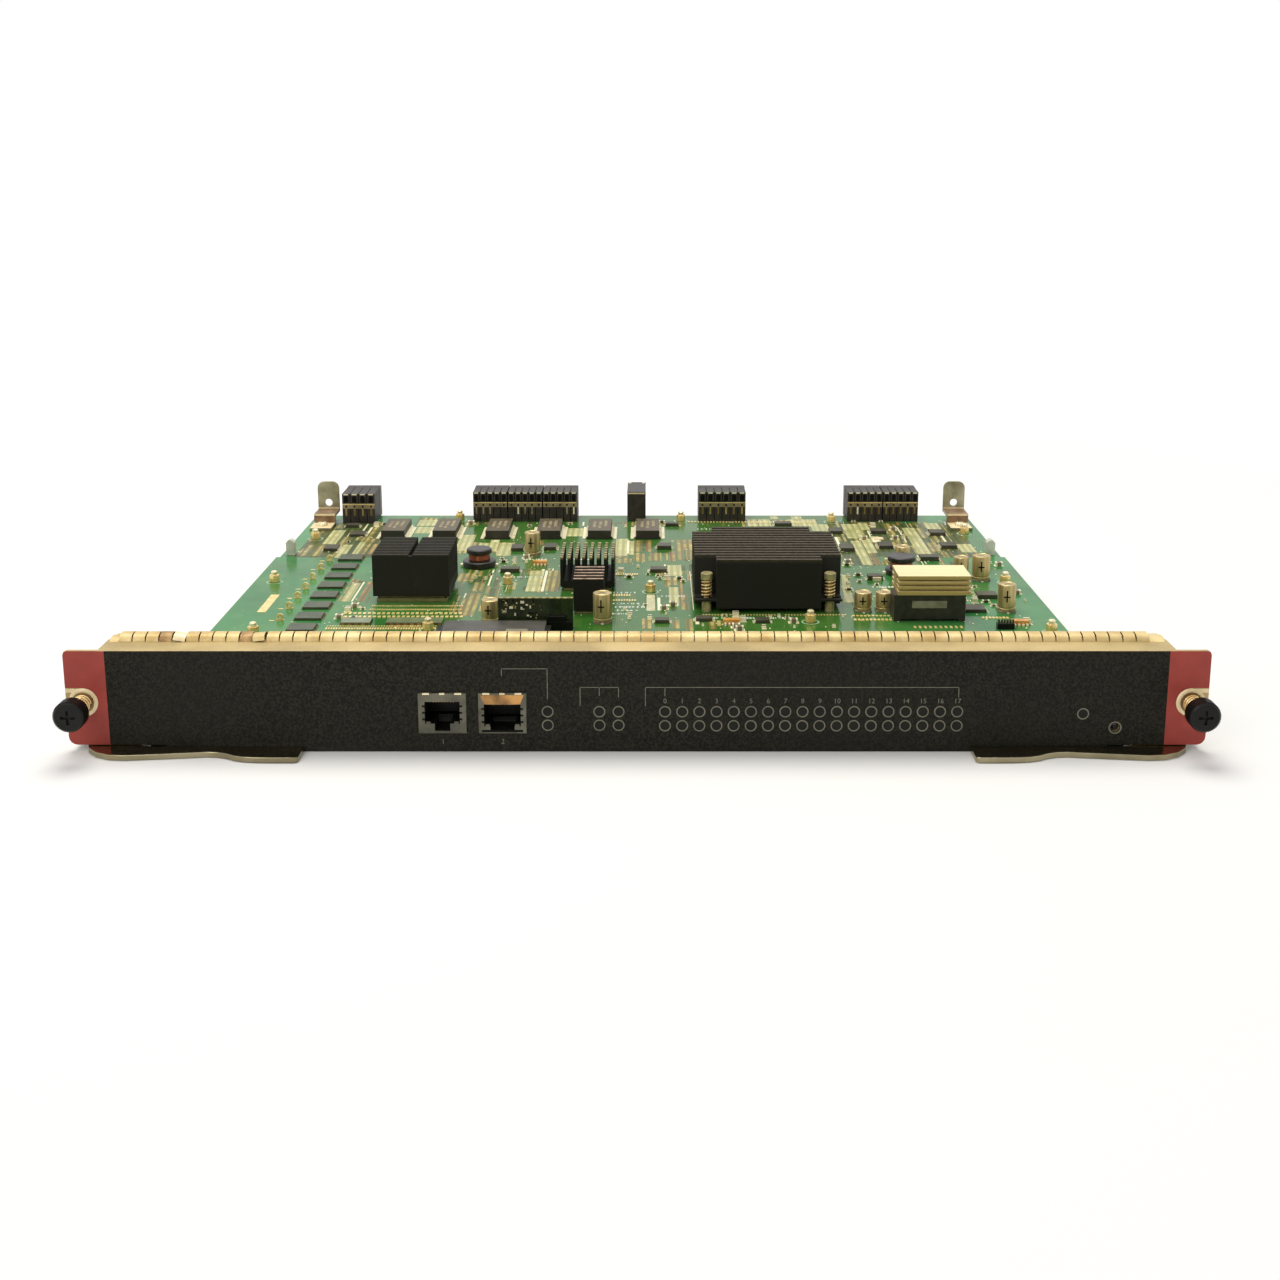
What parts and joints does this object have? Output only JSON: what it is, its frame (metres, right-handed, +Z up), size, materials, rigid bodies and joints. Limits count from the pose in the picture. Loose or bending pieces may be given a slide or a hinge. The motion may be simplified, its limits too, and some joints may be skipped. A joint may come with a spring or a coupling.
{
  "type": "main processing unit",
  "caption": "Plug-in supervisor card: steel front panel with spring contact strip, sockets, ejector levers and captive screws, carrying a board with heat sinks and rear connectors.",
  "frame": {"origin": "centre of the overall box at the height of the panel's bottom edge", "axes": "+X along the front panel to the viewer's right, +Y from the panel to the rear connectors, +Z up from the board"},
  "size_m": [0.399, 0.375, 0.0399],
  "materials": {
    "panel_steel": "zinc-chromate steel sheet, satin",
    "black_film": "matt black overlay film",
    "red_film": "matt red overlay film",
    "finger_alloy": "tin-plated copper alloy spring stock",
    "socket_steel": "plated socket shield",
    "black_plastic": "black moulded nylon",
    "contact_gold": "gold-plated contacts",
    "light_pipe": "clear-grey light bar",
    "circuit_board": "green solder mask",
    "card_green": "green daughter board",
    "plated_steel": "plated steel sheet",
    "lever_steel": "bright plated steel plate",
    "screw_steel": "bright plated steel",
    "spring_steel": "bright spring wire",
    "brass": "turned brass",
    "black_anodised": "black anodised aluminium",
    "bare_aluminium": "bare aluminium with a tan cast",
    "gold_anodised": "gold anodised aluminium",
    "chip_black": "black moulded chip",
    "package_brown": "brown chip substrate",
    "capacitor_can": "bright aluminium can",
    "ferrite": "dark ferrite",
    "card_grey": "dark grey card shell"
  },
  "bodies": {
    "card": {"board_screws": "screw_steel", "capacitors": "capacitor_can", "chip_packages": "package_brown", "console_jack_insert": "black_plastic", "console_jack_shield": "socket_steel", "contact_strip": "finger_alloy", "edge_posts": "bare_aluminium", "flat_chips": "chip_black", "front_film": "black_film", "front_panel": "panel_steel", "gold_heat_sink": "gold_anodised", "guide_block": "black_plastic", "inductors": "ferrite", "jack_contacts": "contact_gold", "large_heat_sink": "black_anodised", "left_board_bracket": "plated_steel", "left_end_film": "red_film", "left_lever_bracket": "plated_steel", "left_rear_tab": "plated_steel", "lever_pivots": "screw_steel", "light_holders": "light_pipe", "main_board": "circuit_board", "management_jack_insert": "black_plastic", "management_jack_shield": "socket_steel", "memory_card": "card_grey", "memory_card_socket": "black_plastic", "memory_chips": "chip_black", "middle_heat_sink": "black_anodised", "power_converter": "black_plastic", "push_pin_springs": "spring_steel", "push_pins": "brass", "rear_connector_far_left": "black_plastic", "rear_connector_far_right": "black_plastic", "rear_connector_left": "black_plastic", "rear_connector_right": "black_plastic", "reset_switch": "black_plastic", "right_board_bracket": "plated_steel", "right_end_film": "red_film", "right_lever_bracket": "plated_steel", "right_rear_tab": "plated_steel", "riser_card": "card_green", "riser_part": "chip_black", "riser_socket": "black_plastic", "small_heat_sink": "black_anodised", "standoffs": "brass", "thumb_ferrules": "screw_steel", "transformers": "chip_black", "twin_heat_sink": "black_anodised"},
    "left_lever": {"left_lever": "lever_steel"},
    "right_lever": {"right_lever": "lever_steel"},
    "left_screw_slide": {"left_thumb_spring": "spring_steel"},
    "left_screw": {"left_thumb_knob": "black_plastic", "left_thumb_screw": "screw_steel"},
    "right_screw_slide": {"right_thumb_spring": "spring_steel"},
    "right_screw": {"right_thumb_knob": "black_plastic", "right_thumb_screw": "screw_steel"},
    "reset_button": {"reset_button": "black_plastic"}
  },
  "joints": [
    {"name": "left_lever_swing", "type": "hinge", "parent": "card", "child": "left_lever", "pos_m": [-0.186, -0.162, 0.0012], "axis": [0, 0, -1], "range_deg": [0, 60]},
    {"name": "left_screw_push", "type": "slide", "parent": "card", "child": "left_screw_slide", "axis": [0, 1, 0], "range_m": [0, 0.006], "stiffness_N_per_m": 300, "deforming": ["left_thumb_spring"]},
    {"name": "left_screw_turn", "type": "hinge", "parent": "left_screw_slide", "child": "left_screw", "pos_m": [-0.1934, -0.171, 0.0182], "axis": [0, 1, 0], "continuous": true},
    {"name": "right_lever_swing", "type": "hinge", "parent": "card", "child": "right_lever", "pos_m": [0.186, -0.162, 0.0012], "axis": [0, 0, 1], "range_deg": [0, 60]},
    {"name": "right_screw_push", "type": "slide", "parent": "card", "child": "right_screw_slide", "axis": [0, 1, 0], "range_m": [0, 0.006], "stiffness_N_per_m": 300, "deforming": ["right_thumb_spring"]},
    {"name": "right_screw_turn", "type": "hinge", "parent": "right_screw_slide", "child": "right_screw", "pos_m": [0.1934, -0.171, 0.0182], "axis": [0, 1, 0], "continuous": true},
    {"name": "reset_press", "type": "slide", "parent": "card", "child": "reset_button", "axis": [0, 1, 0], "range_m": [0, 0.0004], "stiffness_N_per_m": 800}
  ]
}
